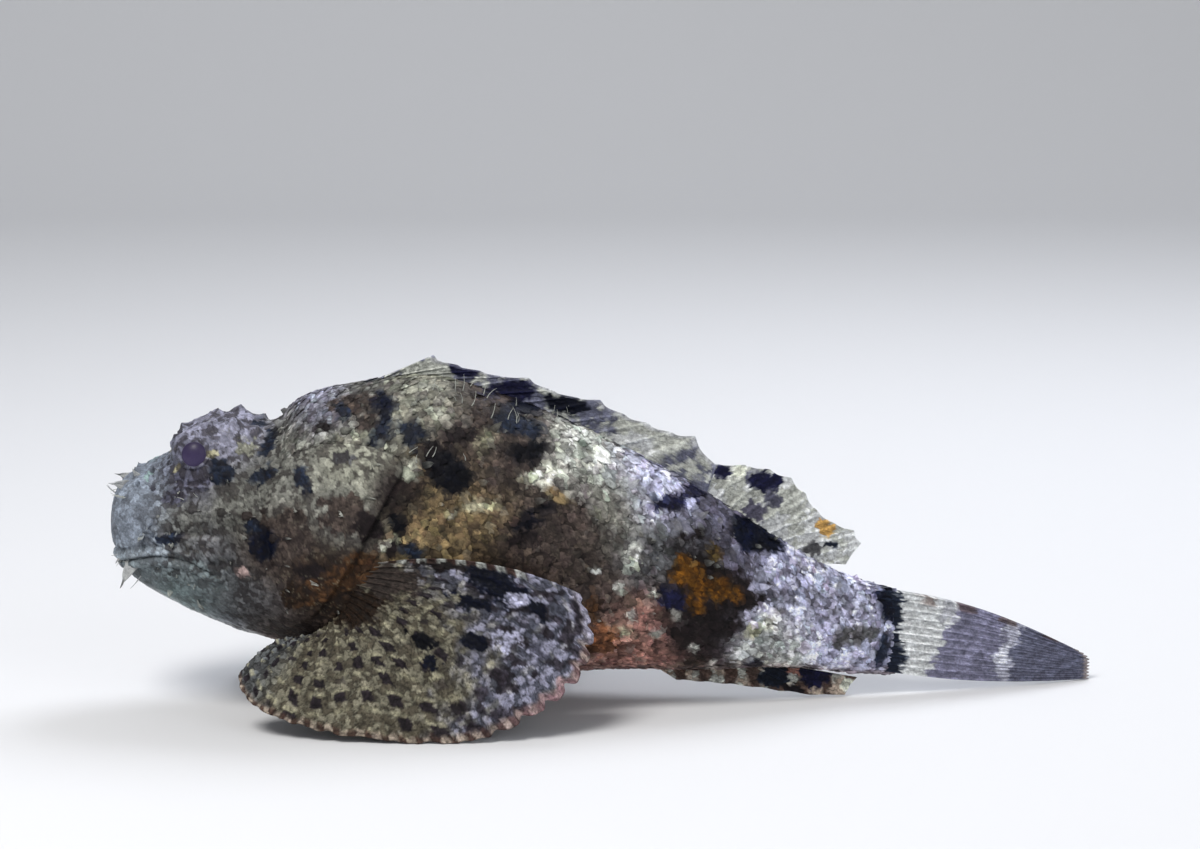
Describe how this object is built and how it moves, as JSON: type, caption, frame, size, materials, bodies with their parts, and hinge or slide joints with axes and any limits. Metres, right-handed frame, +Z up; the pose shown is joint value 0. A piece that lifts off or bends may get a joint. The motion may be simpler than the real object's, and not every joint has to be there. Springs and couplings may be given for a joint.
{
  "type": "spotted scorpionfish",
  "caption": "Life-size spotted scorpionfish at rest on the bottom, with fanned pectoral fins, folded dorsal fin, head spines and skin flaps.",
  "frame": {"origin": "bottom centre of the whole fish: centre of its bounding box in X and Y, floor it rests on at z = 0", "axes": "+X from head to tail, +Z up, the fish's left side faces -Y"},
  "size_m": [0.2672, 0.0892, 0.0941],
  "materials": {
    "head_skin": "wet, mottled skin",
    "jaw_skin": "wet, mottled skin",
    "cover_skin": "wet, mottled skin",
    "body_skin": "wet, scaled, mottled skin",
    "stalk_skin": "wet, scaled, mottled skin",
    "fin_skin": "wet fin membrane over rays",
    "pale_fin_skin": "wet fin membrane over rays",
    "eye": "wet glossy eye"
  },
  "bodies": {
    "root": {"head": "head_skin", "lower_jaw": "jaw_skin", "gill_cover_left": "cover_skin", "gill_cover_right": "cover_skin", "torso": "body_skin", "tail_stalk": "stalk_skin", "eye_left": "eye", "eye_right": "eye", "dorsal_fin_spiny": "fin_skin", "dorsal_fin_soft": "fin_skin", "anal_fin": "pale_fin_skin", "caudal_fin": "pale_fin_skin", "pectoral_fin_left": "fin_skin", "pectoral_fin_right": "fin_skin", "pelvic_fin_left": "fin_skin", "pelvic_fin_right": "fin_skin"}
  },
  "joints": []
}
